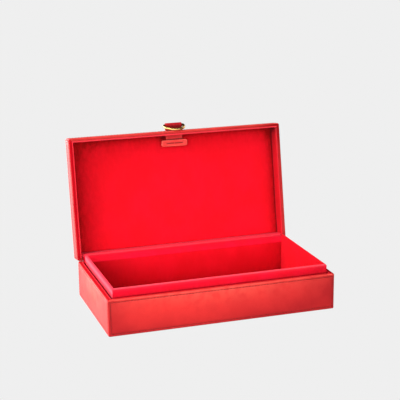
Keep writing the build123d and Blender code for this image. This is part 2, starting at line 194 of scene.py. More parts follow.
def makeLeather(name, finish):
    material, tree = newMaterial(name)
    place = addNode(tree, "TexCoord").outputs["Object"]
    wander = addNode(tree, "TexNoise", {"Vector": place, "Scale": 700.0, "Detail": 2.0}).outputs["Color"]
    offset = addNode(tree, "VectorMath", {0: wander, 1: (0.0005,) * 3}, operation="MULTIPLY").outputs[0]
    moved = addNode(tree, "VectorMath", {0: place, 1: offset}, operation="ADD").outputs[0]
    inputs = {"Vector": moved, "Scale": 1 / finish["grainSize"]}
    cells = addNode(tree, "TexVoronoi", inputs, feature="SMOOTH_F1").outputs["Distance"]
    pebble = ranged(tree, cells, 0.25, 0.75, 1.0, 0.0)
    pores = ranged(tree, noiseAt(tree, 3600.0), 0.35, 0.7)
    # the marked depth: 0 is the full colour, 1 the deep one, which is duller too; mostly painted shade,
    # partly deeper tone
    cloud = ranged(tree, noiseAt(tree, 30.0, 4.0, 0.6), 0.35, 0.65, -0.10, 0.10)
    depth = mathNode(tree, "ADD", marked(tree, "burnish"), cloud, use_clamp=True)
    colour = mixColour(tree, depth, finish["colour"], finish["deepAndShadeColour"])
    valley = mathNode(tree, "MULTIPLY", mathNode(tree, "SUBTRACT", 1.0, pebble), 0.16)
    colour = mixColour(tree, valley, colour, finish["deepAndShadeColour"])
    # painted highlight, with some wear: paler where the mesh marks it
    patchy = ranged(tree, noiseAt(tree, 90.0, 5.0), 0.3, 0.6, 0.35)
    rubAndHighlight = mathNode(tree, "MULTIPLY", marked(tree, "wear"), patchy)
    colour = mixColour(tree, rubAndHighlight, colour, finish["wornAndLitColour"])
    # painted shade in grooves, seams, gaps and the slot
    colour = mixColour(tree, marked(tree, "crease"), colour, finish["creaseColour"])
    gloss = ranged(tree, noiseAt(tree, 60.0, 4.0), 0.3, 0.7, *finish["roughness"])
    dull = mathNode(tree, "MULTIPLY", mathNode(tree, "SUBTRACT", finish["dullRoughness"], gloss), depth)
    broad = bump(tree, noiseAt(tree, 60.0), 0.30, finish["buckle"])
    grain = bump(tree, pebble, 0.5, finish["grainHeight"], Normal=broad)
    setShader(tree, sheenOf(finish) | {
        "Base Color": colour, "Roughness": mathNode(tree, "ADD", gloss, dull),
        "Specular IOR Level": finish["specular"],
        "Normal": bump(tree, pores, 0.25, finish["poreDepth"], Normal=grain),
    })
    return material


suedeFinish = {
    "colour": (0.72, 0.0024, 0.0135, 1), "brushedColour": (0.66, 0.0020, 0.0095, 1),
    "liftedAndHighlightColour": (0.82, 0.115, 0.150, 1), "shadeColour": (0.21, 0.0006, 0.0010, 1),
    "creaseColour": (0.10, 0.0004, 0.0010, 1),
    "napDepth": 0.0008, "hairDepth": 0.00012,  # metres
    "roughness": 0.95, "specular": 0.10,
    "sheen": 0.05, "sheenRoughness": 0.40, "sheenTint": (1.0, 0.42, 0.76, 1),
}
# a pinker copy of the suede for the left and front collars, the hinge strip and the lid's back pad: the extra
# pink is painted sheen
pinkSheenSuedeFinish = {"colour": (0.68, 0.0028, 0.024, 1), "brushedColour": (0.64, 0.0022, 0.016, 1)}


def makeSuede(name, finish):
    material, tree = newMaterial(name)
    nap = noiseAt(tree, 34.0, 5.0, 0.6, (1.0, 1.0, 0.6))
    stroke = noiseAt(tree, 240.0, 3.0, 0.6, (1.0, 0.35, 0.35))
    fibre = noiseAt(tree, 2400.0, 3.0, 0.7)
    colour = mixColour(tree, ranged(tree, nap, 0.35, 0.68), finish["brushedColour"], finish["colour"])
    lifted = mathNode(tree, "MULTIPLY", ranged(tree, stroke, 0.45, 0.75), 0.012)
    colour = mixColour(tree, lifted, colour, finish["liftedAndHighlightColour"])
    speckle = mathNode(tree, "MULTIPLY", ranged(tree, fibre, 0.3, 0.6, 1.0, 0.0), 0.22)
    colour = mixColour(tree, speckle, colour, finish["brushedColour"])
    # painted shade deepens the colour, and a painted highlight makes it pale
    uneven = ranged(tree, noiseAt(tree, 220.0, 4.0, 0.65, (1.0, 1.0, 0.5)), 0.3, 0.7, 0.80, 1.15)
    shadeDepth = mathNode(tree, "MULTIPLY", marked(tree, "burnish"), uneven)
    colour = mixColour(tree, shadeDepth, colour, finish["shadeColour"])
    tufts = ranged(tree, noiseAt(tree, 380.0, 3.0, 0.6), 0.3, 0.65, 0.82, 1.1)
    napHighlight = mathNode(tree, "MULTIPLY", marked(tree, "wear"), tufts)
    colour = mixColour(tree, napHighlight, colour, finish["liftedAndHighlightColour"])
    # painted shade in gaps, seams and corners
    colour = mixColour(tree, marked(tree, "crease"), colour, finish["creaseColour"])
    soft = bump(tree, nap, 0.25, finish["napDepth"])
    setShader(tree, sheenOf(finish) | {
        "Base Color": colour, "Roughness": finish["roughness"], "Specular IOR Level": finish["specular"],
        "Normal": bump(tree, fibre, 0.5, finish["hairDepth"], Normal=soft),
    })
    return material


brassFinish = {
    "colour": (0.60, 0.39, 0.125, 1), "tarnish": (0.20, 0.11, 0.03, 1),
    "dark": (0.050, 0.030, 0.008, 1),  # next to the bar, where the strap's loop holds it
    "roughness": (0.33, 0.46),
}


def makeBrass(name, finish):
    material, tree = newMaterial(name)
    cloud = noiseAt(tree, 160.0, 4.0, 0.6)
    dull = mathNode(tree, "MULTIPLY", ranged(tree, cloud, 0.45, 0.75), 0.45)
    colour = mixColour(tree, dull, finish["colour"], finish["tarnish"])
    scratch = noiseAt(tree, 900.0, 2.0, 0.5, (0.12, 1.0, 1.0))
    setShader(tree, {
        "Base Color": mixColour(tree, marked(tree, "burnish"), colour, finish["dark"]),
        "Metallic": 1.0, "Roughness": ranged(tree, cloud, 0.3, 0.7, *finish["roughness"]),
        "Normal": bump(tree, scratch, 0.12, 0.00004),
    })
    return material


boardFinish = {"pale": (0.62, 0.45, 0.27, 1), "dark": (0.44, 0.28, 0.15, 1)}


def makeBoard(name, finish):
    material, tree = newMaterial(name)
    place = addNode(tree, "TexCoord").outputs["Object"]
    inputs = {"Vector": place, "Scale": 38.0, "Distortion": 7.0, "Detail": 3.0, "Detail Scale": 1.4}
    rings = addNode(tree, "TexWave", inputs, wave_type="BANDS", bands_direction="Y").outputs["Fac"]
    pores = noiseAt(tree, 700.0, 3.0, 0.6, (0.05, 1.0, 1.0))
    grain = mathNode(tree, "MULTIPLY", rings, ranged(tree, pores, 0.3, 0.7, 0.5))
    setShader(tree, {
        "Base Color": mixColour(tree, grain, finish["pale"], finish["dark"]), "Roughness": 0.7,
        "Normal": bump(tree, pores, 0.3, 0.0001),
    })
    return material


feltFinish = {
    "colour": (0.16, 0.010, 0.013, 1), "fleck": (0.26, 0.03, 0.03, 1),
    "noise": (900.0, 5.0, 0.7), "range": (0.35, 0.7), "bump": (0.6, 0.0002),
    "shader": {"Roughness": 0.97, "Sheen Weight": 0.3},
}
threadFinish = {
    "colour": (0.17, 0.005, 0.005, 1), "fleck": (0.30, 0.011, 0.011, 1),
    "noise": (2800.0, 2.0, 0.5), "range": (0.4, 0.65), "bump": (0.5, 0.0001),
    "shader": {"Roughness": 0.7, "Specular IOR Level": 0.25},
}


def makeFibres(name, finish):
    # felt and thread: two colours of one fine noise, which also lifts the surface
    material, tree = newMaterial(name)
    fluff = noiseAt(tree, *finish["noise"])
    share = ranged(tree, fluff, *finish["range"])
    setShader(tree, finish["shader"] | {
        "Base Color": mixColour(tree, share, finish["colour"], finish["fleck"]),
        "Normal": bump(tree, fluff, *finish["bump"]),
    })
    return material


leather = makeLeather("redGrainLeather", leatherFinish)
shadedRimLeather = makeLeather("shadedTurnedInLeather", leatherFinish | shadedRimFinish)
litRimLeather = makeLeather("litRimLeather", leatherFinish | litRimFinish)
strapLeather = makeLeather("strapLeather", leatherFinish | strapFinish)
suede = makeSuede("redSuede", suedeFinish)
pinkSheenSuede = makeSuede("pinkSheenSuede", suedeFinish | pinkSheenSuedeFinish)
brass = makeBrass("polishedBrass", brassFinish)
board = makeBoard("poplarBoard", boardFinish)
felt = makeFibres("undersideFelt", feltFinish)
thread = makeFibres("waxedThread", threadFinish)
print("materials made")


# Mesh tools
def makePiece(name, points, faces, material, body, replaced=(), marks=None, crisp=40, second=None):
    mesh = bpy.data.meshes.new(name)
    mesh.from_pydata([restPose[body] @ Vector(p) * millimetre for p in points], [], faces)
    for key, values in (marks or {}).items():
        attribute = mesh.attributes.new(key, "FLOAT", "POINT")
        attribute.data.foreach_set("value", values)
    work = bmesh.new()
    work.from_mesh(mesh)
    bmesh.ops.remove_doubles(work, verts=work.verts, dist=0.000002)
    bmesh.ops.dissolve_degenerate(work, edges=work.edges, dist=0.000002)
    bmesh.ops.triangulate(work, faces=[face for face in work.faces if len(face.verts) > 4])
    bmesh.ops.recalc_face_normals(work, faces=work.faces)
    work.to_mesh(mesh)
    work.free()
    mesh.shade_smooth()
    mesh.set_sharp_from_angle(angle=math.radians(crisp))
    mesh.materials.append(material)
    if second:
        # faces marked as turned in take the second material
        mesh.materials.append(second)
        turned = mesh.attributes["turned"].data
        for polygon in mesh.polygons:
            polygon.material_index = int(all(turned[v].value > 0.5 for v in polygon.vertices))
    piece = bpy.data.objects.new(name, mesh)
    bpy.context.scene.collection.objects.link(piece)
    if replaced:
        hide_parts(*replaced)
    if body:
        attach(piece, body)
    return piece


def mark(marks, count=1, **values):
    # notes values for the next count points
    for key, value in values.items():
        marks.setdefault(key, []).extend([value] * count)


def tube(count, rings, first=0, caps=True, closed=False):
    # faces between rings of count points each, and over the two ends
    last = first + (rings - 1) * count
    faces = [tuple(range(first, first + count)), tuple(range(last, last + count))] if caps else []
    for ring in range(rings if closed else rings - 1):
        here, ahead = first + ring * count, first + (ring + 1) % rings * count
        for index in range(count):
            following = (index + 1) % count
            faces.append((here + index, here + following, ahead + following, ahead + index))
    return faces


def spaced(low, high, step):
    count = max(1, round((high - low) / step))
    return [low + (high - low) * index / count for index in range(count + 1)]


def around(value, reach=1.3, count=7):
    # close stops on both sides of a value, for the bottom of a groove
    return [value + reach * (2 * index / (count - 1) - 1) for index in range(count)]


def swell(x, y, z, size, seed=0.0):
    # a smooth random value from -1 to 1, for hand-made unevenness
    return noise.noise(Vector((x / size + seed, y / size, z / size)))


def onCircle(degrees, radius=1.0):
    angle = math.radians(degrees)
    return radius * math.cos(angle), radius * math.sin(angle)


def roundedLoop(corners, step, extra=()):
    # a closed profile: each corner is (inset, height, radius)
    points = []
    total = len(corners)
    for index, (x, y, radius) in enumerate(corners):
        here = Vector((x, y))
        before = (Vector(corners[index - 1][:2]) - here).normalized()
        after = (Vector(corners[(index + 1) % total][:2]) - here).normalized()
        if radius:
            angle = before.angle(after)
            reach = radius / math.tan(angle / 2)
            centre = here + (before + after).normalized() * radius / math.sin(angle / 2)
            start = (here + before * reach - centre).normalized()
            end = (here + after * reach - centre).normalized()
            points += [centre + start.slerp(end, share / 6) * radius for share in range(7)]
        else:
            points.append(here)
    loop = []
    for index, point in enumerate(points):
        run = points[(index + 1) % len(points)] - point
        shares = spaced(0, 1, min(1.0, step / max(run.length, 1e-6)))[:-1]
        if abs(run.x) < 0.01 and abs(run.y) > 2:
            shares += [(stop - point.y) / run.y for stop in extra]
        for share in sorted(set(round(s, 5) for s in shares if 0 <= s < 0.999)):
            loop.append(point + run * share)
    return [(p.x, p.y) for p in loop]


def sweepSide(side, profile, stops, relief, ends=("mitre", "mitre"), cornerRadius=0.0, skived=0.95):
    # carries a wall profile along one side; an end is "mitre" or an inset from the corner;
    # what lies deeper in than skived counts as turned in
    length, depth = halfSizes[side]
    away = outward[side]
    along = up.cross(away)
    low, high = stops[0], stops[-1]
    turns = [math.radians(9 * number) for number in range(1, 6)] if cornerRadius else []
    stations = [(-1, turn) for turn in reversed(turns)]
    stations += [(0, (stop - low) / (high - low)) for stop in stops]
    stations += [(1, turn) for turn in turns]
    points, marks = [], {}
    for corner, value in stations:
        for inset, height in profile:
            reach = length - max(inset, cornerRadius)
            start = -reach if ends[0] == "mitre" else -(length - ends[0])
            end = reach if ends[1] == "mitre" else length - ends[1]
            deep = inset
            if corner:
                radius = max(cornerRadius - inset, 0.0)
                u = (start if corner < 0 else end) + corner * radius * math.sin(value)
                if radius:
                    deep = cornerRadius - radius * math.cos(value)
            else:
                u = start + (end - start) * value
            # relief gives each point its painted highlight, painted shade and deeper tone
            u, deep, height, rubAndHighlight, dark, tone = relief(u, deep, height, corner)
            points.append(along * u + away * (depth - deep) + up * height)
            mark(marks, wear=rubAndHighlight, crease=dark, burnish=tone, turned=float(inset > skived))
    return points, tube(len(profile), len(stations)), marks


# Stitches
stitchLook = {
    "margin": 3.5, "pitch": 4.4, "length": 3.1, "width": 0.85, "thickness": 0.45, "proud": 0.36,
    "sunkEnds": 0.25, "lengthSpread": (0.94, 1.04), "plumpness": 0.6, "rings": 6, "sides": 6,
    "slant": 7.0, "slantSpread": 3.0,  # degrees
    "grooveDepth": 0.36, "grooveWidth": 0.65, "grooveShade": {"base": 0.45, "lid": 0.9},
}


def grooveAt(distance):
    return hump(distance, stitchLook["grooveWidth"])


def stitchRows(corners, closed=True):
    # places of the stitches along straight runs between corners: (centre, direction)
    places = []
    count = len(corners)
    for index in range(count if closed else count - 1):
        start = corners[index]
        run = corners[(index + 1) % count] - start
        number = max(1, round(run.length / stitchLook["pitch"]))
        for step in range(number):
            places.append((start + run * (step + 0.5) / number, run.normalized()))
    return places


def makeStitches(name, places, normal, body, scale=1.0):
    look = stitchLook
    points, faces = [], []
    rings, sides = look["rings"], look["sides"]
    for centre, direction in places:
        slant = math.radians(look["slant"] + random.uniform(-look["slantSpread"], look["slantSpread"]))
        direction = Matrix.Rotation(slant, 3, normal) @ direction
        across = normal.cross(direction)
        half = look["length"] / 2 * scale * random.uniform(*look["lengthSpread"])
        faces += tube(sides, rings + 1, len(points), caps=False)
        for ring in range(rings + 1):
            turn = math.pi * ring / rings
            reach = -math.cos(turn) * half
            swollen = math.sin(turn) ** look["plumpness"]
            for side in range(sides):
                angle = math.tau * side / sides
                offset = across * math.cos(angle) * look["width"] / 2 * scale * swollen
                rise = math.sin(angle) * look["thickness"] * scale * swollen
                lift = (look["proud"] - look["thickness"]) * scale + rise - look["sunkEnds"] * (1 - swollen)
                points.append(centre + direction * reach + offset + normal * lift)
    makePiece(name, points, faces, thread, body, crisp=80)


# Leather sides
hingeSeat = {"spacing": 200.0, "half": 19.95, "barrel": 1.72, "leaf": 1.05, "gap": 0.2, "barrelGap": 0.05}
seatCentres = (-hingeSeat["spacing"] / 2, hingeSeat["spacing"] / 2)

# painted shade on the turned-in rims, side by side, and painted highlight along the front rims; and the slot
# that the strap comes out of
rimLook = {
    "base": {"front": 0.0, "back": 0.9, "left": 1.0, "right": 0.9},
    "lid": {"front": 0.3, "back": 0.9, "left": 1.0, "right": 0.3},
    # on the left the dark rim leather also covers the rounded edge, as painted shade
    "skived": {"front": 0.95, "back": 0.95, "left": 0.25, "right": 0.95},
    "edge": 0.85,  # painted shade on the rounded edges, apart from the rims along the front
    "edgeWidth": 1.8, "turnedRadius": 0.35,
    "frontRimHighlight": (0.7, 0.4, 0.9),  # painted highlight on the rims along the front: amount, middle, reach
    "innerShade": (0.5, 0.7),  # where the turned-in leather meets the lining: amount, reach
    "corner": (0.9, 34.0),  # painted shade towards the corner of the lid's front and right: amount, reach
    "spineRise": 0.15,  # the two rims along the hinge nearly touch
}
slotLook = {"half": 12.75, "height": 67.9, "rise": 1.75, "depth": 0.7, "shade": 0.9}
# painted shade on the hide: amount and reach, in millimetres from an end or in shares of the height
paintedShadeLook = {
    "ends": (0.35, 26.0), "foot": (0.35, 0.3), "back": 0.35, "lidLeftRim": (1.3, 0.42),
    "frontLeft": (0.75, 22.0), "frontRight": (0.95, 70.0), "frontFoot": (0.8, 0.35),
}
# painted sheen, making the base paler below its rim: amount, middle, reach, share of the height
paintedSheen = {"front": (0.55, -10.0, 120.0, 0.35), "left": (0.9, 5.0, 52.0, 0.55)}
sideWaver = {"amount": 0.10, "seed": 16}


def leatherShade(side, u, rise, body):
    # painted shade: the hide is darker towards its ends and its foot, all over the back, and along the lid's
    # left rim
    length = halfSizes[side][0]
    look = paintedShadeLook
    if side == "left" and body == "lid":
        amount, reach = look["lidLeftRim"]
        return min(amount * hump(rise, reach), 1.0)
    if side != "front" or body != "base":
        full = look["back"] if side == "back" else 0.0
        return full + faded(length - abs(u), *look["ends"]) + faded(rise, *look["foot"])
    tone = faded(length + u, *look["frontLeft"]) + faded(length - u, *look["frontRight"])
    return min(tone + faded(rise, *look["frontFoot"]), 1.0)


def seatHinges(u, inset, height, body):
    # lets the hinge leaves and their knuckles into the back
    seat, seam = hingeSeat, hingePoint.z
    for centre in seatCentres:
        if abs(u - centre) < seat["half"]:
            if body == "base":
                height = min(height, seam - seat["leaf"] - seat["gap"])
            else:
                height = max(height, seam + seat["leaf"] + seat["gap"])
            away = Vector((inset, height - seam))
            if away.length < seat["barrel"] + seat["barrelGap"]:
                away = away.normalized() * (seat["barrel"] + seat["barrelGap"])
                inset, height = away.x, away.y + seam
    return inset, height


def leatherRelief(side, low, high, body):
    # the stitch groove, the painted highlight and painted shade on the edges and rims, and the hinge seats of
    # one leather side
    length = halfSizes[side][0]
    margin = stitchLook["margin"]
    rim = high if body == "base" else low
    leatherDepth, cover = boxSizes["leather"], boxSizes["wallCover"]

    def relief(u, inset, height, corner):
        edge = min(abs(height - low), abs(high - height), length - abs(u))
        rubAndHighlight, dark = 0.0, 0.0
        tone = leatherShade(side, u, (height - low) / (high - low), body)
        # painted highlight along the front rim, and painted shade on the other rounded edges
        if side == "front" and abs(height - rim) < rimLook["edgeWidth"]:
            amount, middle, reach = rimLook["frontRimHighlight"]
            if inset < reach:
                rubAndHighlight = ramp(abs(edge - middle), amount, reach)
        else:
            tone = max(tone, rimLook["edge"] * clamp(1.5 - edge / rimLook["edgeWidth"]))
        # painted shade on the turned-in rim, deeper towards the lid's front right corner
        if inset > leatherDepth and abs(height - rim) < 0.5:
            tone = rimLook[body][side]
            if body == "lid" and side in ("front", "right"):
                toCorner = length - u if side == "front" else length + u
                tone = min(tone + faded(toCorner, *rimLook["corner"]), 1.0)
            dark = ramp(abs(inset - cover), *rimLook["innerShade"])
        outer = inset < 0.05
        if side == "front" and body == "lid" and outer:
            if abs(u) < slotLook["half"] and abs(height - slotLook["height"]) < slotLook["rise"]:
                inset += slotLook["depth"]
                dark = slotLook["shade"]
                outer = False
        if outer and low + 1 < height < high - 1:
            groove = 0.0
            if abs(u) < length - margin + 1:
                groove = max(grooveAt(abs(height - end) - margin) for end in (low, high))
            if low + margin - 1 < height < high - margin + 1 and not corner:
                groove = max(groove, grooveAt(length - abs(u) - margin))
            dark = max(dark, groove * stitchLook["grooveShade"][body])
            inset += stitchLook["grooveDepth"] * groove
            inset += sideWaver["amount"] * swell(u, height, length, sideWaver["seed"])
            rubAndHighlight = max(rubAndHighlight - groove, 0.0)
            # painted sheen below the rim on the base's front and left
            if body == "base" and side in paintedSheen:
                amount, middle, reach, share = paintedSheen[side]
                below = (high - height) / (high - low)
                rubAndHighlight = max(rubAndHighlight, amount * hump(u - middle, reach) * hump(below, share))
        if side == "back":
            if abs(height - rim) < 0.45:
                height += rimLook["spineRise"] * (1 if body == "base" else -1)
            inset, height = seatHinges(u, inset, height, body)
        return u, inset, height, rubAndHighlight, dark, tone

    return relief


def leatherStops(side):
    length = halfSizes[side][0] - boxSizes["cornerRadius"]
    stops = spaced(-length, length, 9.0)
    groove = halfSizes[side][0] - stitchLook["margin"]
    stops += around(groove) + around(-groove)
    if side == "front":
        for end in (-slotLook["half"], slotLook["half"]):
            stops += [end - 0.1, end + 0.1]
    if side == "back":
        for wall in (centre + end * hingeSeat["half"] for centre in seatCentres for end in (-1, 1)):
            stops += [wall - 0.06, wall + 0.06]
    return sorted(stop for stop in stops if abs(stop) <= length)


def baseProfile(low, high, rimRadius):
    # bottom, outer face and rim, and the turned-in leather's inner faces
    skin, under, cover = boxSizes["leather"], boxSizes["turnedUnder"], boxSizes["wallCover"]
    return [
        (under, low, 0), (0.0, low, boxSizes["edgeRadius"]), (0.0, high, rimRadius),
        (cover, high, rimLook["turnedRadius"]), (cover, high - skin, 0), (skin, high - skin, 0),
        (skin, low + skin, 0), (under, low + skin, 0),
    ]


def lidProfile(low, high, rimRadius):
    # the rim and the outer face, rounded over as far as the top sheet of leather
    skin, cover, radius = boxSizes["leather"], boxSizes["wallCover"], boxSizes["edgeRadius"]
    top = boxSizes["lidBoardTop"]
    corners = [(cover, low, rimLook["turnedRadius"]), (0.0, low, rimRadius), (0.0, high - radius, 0)]
    for share in (0.2, 0.4, 0.6, 0.8, 1.0):
        rise = share * (top - high + radius)
        corners.append((radius - math.sqrt(radius**2 - rise**2), high - radius + rise, 0))
    return corners + [(skin, top, 0), (skin, low + skin, 0), (cover, low + skin, 0)]


def makeLeatherSide(side, body):
    sizes = boxSizes
    margin = stitchLook["margin"]
    rimRadius = sizes["spineRadius"] if side == "back" else sizes["edgeRadius"]
    if body == "base":
        low, high = 0.0, sizes["baseHeight"]
        corners = baseProfile(low, high, rimRadius)
    else:
        low, high = sizes["lidRim"], sizes["lidTop"]
        corners = lidProfile(low, high, rimRadius)
    extra = around(low + margin) + around(high - margin)
    if side == "front" and body == "lid":
        for edge in (slotLook["height"] - slotLook["rise"], slotLook["height"] + slotLook["rise"]):
            extra += [edge - 0.1, edge + 0.1]
    points, faces, marks = sweepSide(
        side, roundedLoop(corners, 5.0, extra), leatherStops(side), leatherRelief(side, low, high, body),
        cornerRadius=sizes["cornerRadius"], skived=rimLook["skived"][side],
    )
    name = f"{body}{side.capitalize()}"
    # the dark copy where the rim has painted shade, the paler one where it has painted highlight
    rimMaterial = shadedRimLeather if rimLook[body][side] > 0.5 else litRimLeather
    makePiece(
        f"{name}Leather", points, faces, leather, body, [f"{body}_{side}_leather"], marks,
        second=rimMaterial,
    )
    # one row of stitches all round the panel
    length, depth = halfSizes[side]
    away = outward[side]
    along = up.cross(away)
    reach, bottom, top = length - margin, low + margin, high - margin
    places = ((-reach, bottom), (reach, bottom), (reach, top), (-reach, top))
    rows = [along * u + away * depth + up * height for u, height in places]
    makeStitches(f"{name}Stitches", stitchRows(rows), away, body)


for side in outward:
    makeLeatherSide(side, "base")
    makeLeatherSide(side, "lid")
print("leather sides made")


# Flat pieces
quarters = ((1, 1, 0), (-1, 1, 90), (-1, -1, 180), (1, -1, 270))


def quarterArc(quarter, halfX, halfY, radius, step):
    # one rounded corner of a rectangle
    signX, signY, start = quarter
    arc = []
    for turn in range(0, 91, step):
        x, y = onCircle(start + turn, radius)
        arc.append((signX * (halfX - radius) + x, signY * (halfY - radius) + y))
    return arc


def roundedPlan(inset, radius, height, centre=(0.0, 0.0), size=None, step=10.0):
    # a loop of points round a rounded rectangle
    width, depth = size or (boxSizes["width"], boxSizes["depth"])
    radius = max(radius - inset, 0.15)
    arcs = [quarterArc(quarter, width / 2 - inset, depth / 2 - inset, radius, 15) for quarter in quarters]
    loop = []
    for index, arc in enumerate(arcs):
        loop += arc
        here, following = arc[-1], arcs[(index + 1) % 4][0]
        run = (following[0] - here[0], following[1] - here[1])
        number = round((width if abs(run[0]) > abs(run[1]) else depth) / step)
        for part in spaced(0, 1, 1 / number)[1:-1]:
            loop.append((here[0] + run[0] * part, here[1] + run[1] * part))
    return [Vector((x + centre[0], y + centre[1], height)) for x, y in loop]


def stackLoops(loops):
    # joins loops of equal length into a closed shell
    return [point for loop in loops for point in loop], tube(len(loops[0]), len(loops))


lidTopLook = {
    "rings": (2.8, 7.5, 12.0, 20.0, 32.0, 48.0, 66.0, 80.0),  # insets from the edge
    # paler on and near the rounded edge: wear, with painted highlight on the edge
    "edgeWearAndHighlight": (0.9, 0.12), "faceWear": (0.25, 0.04),  # at first, and lost with each step or millimetre
    "waver": 0.12, "waverSize": 20, "wavesFrom": 7, "grooveShade": 0.85,
    # painted shade: the top is darker all over, unevenly in random patches
    "burnish": (0.42, 0.16), "patchSize": 70,
}


def makeLidTop():
    sizes, look = boxSizes, lidTopLook
    radius, top, corner = sizes["edgeRadius"], sizes["lidTop"], sizes["cornerRadius"]
    margin = stitchLook["margin"]
    start = math.asin((sizes["lidBoardTop"] - (top - radius)) / radius)
    (edgeWearAndHighlight, edgeLoss), (wear, loss) = look["edgeWearAndHighlight"], look["faceWear"]
    loops, marks = [], {}
    for share in range(7):
        angle = start + (math.pi / 2 - start) * share / 6
        height = top - radius + radius * math.sin(angle)
        loops.append(roundedPlan(radius - radius * math.cos(angle), corner, height))
        mark(marks, len(loops[0]), wear=edgeWearAndHighlight - edgeLoss * share, crease=0.0)
    for inset in sorted([*around(margin, count=9), *look["rings"]]):
        groove = grooveAt(inset - margin)
        loop = roundedPlan(inset, corner, top - stitchLook["grooveDepth"] * groove)
        if inset > look["wavesFrom"]:
            loop = [p + up * look["waver"] * swell(p.x, p.y, 0, look["waverSize"]) for p in loop]
        loops.append(loop)
        mark(marks, len(loop), wear=max(0.0, wear - inset * loss), crease=groove * look["grooveShade"])
    points, faces = stackLoops(loops)
    # painted shade over the top, in random patches
    burnish, patches = look["burnish"]
    for p in points:
        mark(marks, burnish=burnish + patches * swell(p.x, p.y, 0, look["patchSize"], 2.0))
    makePiece("lidTopLeather", points, faces, leather, "lid", ["lid_top_leather"], marks)
    x, y = sizes["width"] / 2 - margin, sizes["depth"] / 2 - margin
    rows = [Vector((sx * x, sy * y, top)) for sx, sy in ((-1, -1), (1, -1), (1, 1), (-1, 1))]
    makeStitches("lidTopStitches", stitchRows(rows), up, "lid")


makeLidTop()
print("lid top made")


def graded(low, high, step=9.0, fine=(0.0, 0.12, 0.3, 0.6, 1.0, 1.6, 2.6, 4.5, 8.0)):
    # stops that crowd together at both ends
    stops = [low + f for f in fine] + [high - f for f in fine]
    return sorted(stops + spaced(low + 12, high - 12, step))


slabLook = {
    "deepest": 0.9,  # how much of its thickness a pad may lose at its edges
    "rippleReach": 10, "highest": 0.05,
    "seam": (0.75, 1.6), "hingeSeam": 0.3,  # painted shade all round, and less so along the hinge
    # painted shade on the pad's sides
    "rim": {"burnish": 0.6, "crease": 0.8},
}


def paddedSlab(name, look, body, replaced, stops=((), ()), shading=None):
    # a flat pad with rounded edges and a gentle crown towards its face;
    # shading gives more painted shade (darker, deeper) for a place on it
    spanX, spanY = look["spanX"], look["spanY"]
    face, back = look["face"], look["back"]
    sign = 1 if face > back else -1
    xs = sorted({*graded(*spanX), *stops[0]})
    ys = sorted({*graded(*spanY), *stops[1]})

    def drop(distance):
        radius = look["rounding"]
        rounded = radius - math.sqrt(max(radius**2 - max(radius - distance, 0.0) ** 2, 0.0))
        return rounded + faded(distance, look["crown"], look["crownReach"])

    points, marks = [], {}
    for y in ys:
        for x in xs:
            edges = (x - spanX[0], spanX[1] - x, y - spanY[0], spanY[1] - y)
            sideways, lengthways = min(edges[:2]), min(edges[2:])
            nearest = min(edges)
            fall = min(math.hypot(drop(sideways), drop(lengthways)), abs(face - back) * slabLook["deepest"])
            ripple = look["ripple"] * swell(x, y, 0, look["rippleSize"], look["seed"])
            ripple *= min(1.0, nearest / slabLook["rippleReach"])
            points.append(Vector((x, y, face - sign * (fall + max(ripple, -slabLook["highest"])))))
            # painted shade along the seams and the edges, and more where shading gives it
            hinged = slabLook["hingeSeam"] if edges[3] < min(edges[:3]) else 1.0
            amount, loss = slabLook["seam"]
            dark = hinged * max(0.0, amount - nearest * loss)
            shadeDepth = sum(faded(distance, *strength) for distance, strength in zip(edges, look["shadeDepth"]))
            if shading:
                darker, deeper = shading(x, y)
                dark, shadeDepth = max(dark, darker), shadeDepth + deeper
            mark(marks, burnish=min(shadeDepth, 1.0), crease=dark)
    columns, rows = len(xs), len(ys)
    faces = []
    for a in (row * columns + column for row in range(rows - 1) for column in range(columns - 1)):
        faces.append((a, a + 1, a + 1 + columns, a + columns))
    rim = [*range(columns), *range(2 * columns - 1, rows * columns, columns)]
    rim += [*range(rows * columns - 2, (rows - 1) * columns - 1, -1)]
    rim += [*range((rows - 2) * columns, 0, -columns)]
    first = len(points)
    points += [Vector((points[index].x, points[index].y, back)) for index in rim]
    mark(marks, len(rim), **slabLook["rim"])
    for index in range(len(rim)):
        following = (index + 1) % len(rim)
        faces.append((rim[index], first + index, first + following, rim[following]))
    faces.append(tuple(range(first, first + len(rim))))
    piece = makePiece(name, points, faces, suede, body, replaced, marks)


keeperLook = {
    "width": 39.0, "length": 9.5, "thickness": 4.2, "corner": 2.4, "rounding": 1.1, "setback": 13.5,
    "height": 67.9, "stitchScale": 0.75,
    "rows": ((-10.8, -1.8), (1.2, 12.0)),  # the two short seams that hold the strap's end
    "rings": (1.7, 2.4, 3.0, 3.6, 4.1, 4.5),  # insets on its face
    "seamInset": 4.6, "seamSpread": 0.9, "grooveDepth": 0.42, "grooveShade": 0.8,
    # edge wear: a painted highlight round the edge of its face
    "faceSunk": 0.05, "edgeWearAndHighlight": 0.75, "faceWear": 0.15, "edgeWidth": 1.2,
}
lidPanelLook = {
    "spanX": (-153.7, 153.7), "spanY": (-81.2, 78.48), "face": 70.1, "back": 71.3,
    "rounding": 0.7, "crown": 0.35, "crownReach": 6.0, "ripple": 0.10, "rippleSize": 34.0,
    "seed": 3.1, "fill": 0.8,
    # painted shade along the left, right, front and back edges: amount, reach
    "shadeDepth": ((0.95, 30.0), (0.95, 9.5), (0.85, 14.0), (0.06, 6.0)),
    # and painted shade round the strap's keeper
    "keeperEnd": -64.5, "keeper": (0.5, 3.0),
    # painted shadow in the pocket beside the strap, above its keeper
    "pocketX": (-21.0, -12.0), "pocketY": (-81.2, -74.4), "pocketShade": 1.5,
    # and the corner on the right, where hardly any light gets in
    "cornerWidth": 1.8, "cornerReach": 26.0, "cornerShade": 1.3,
}
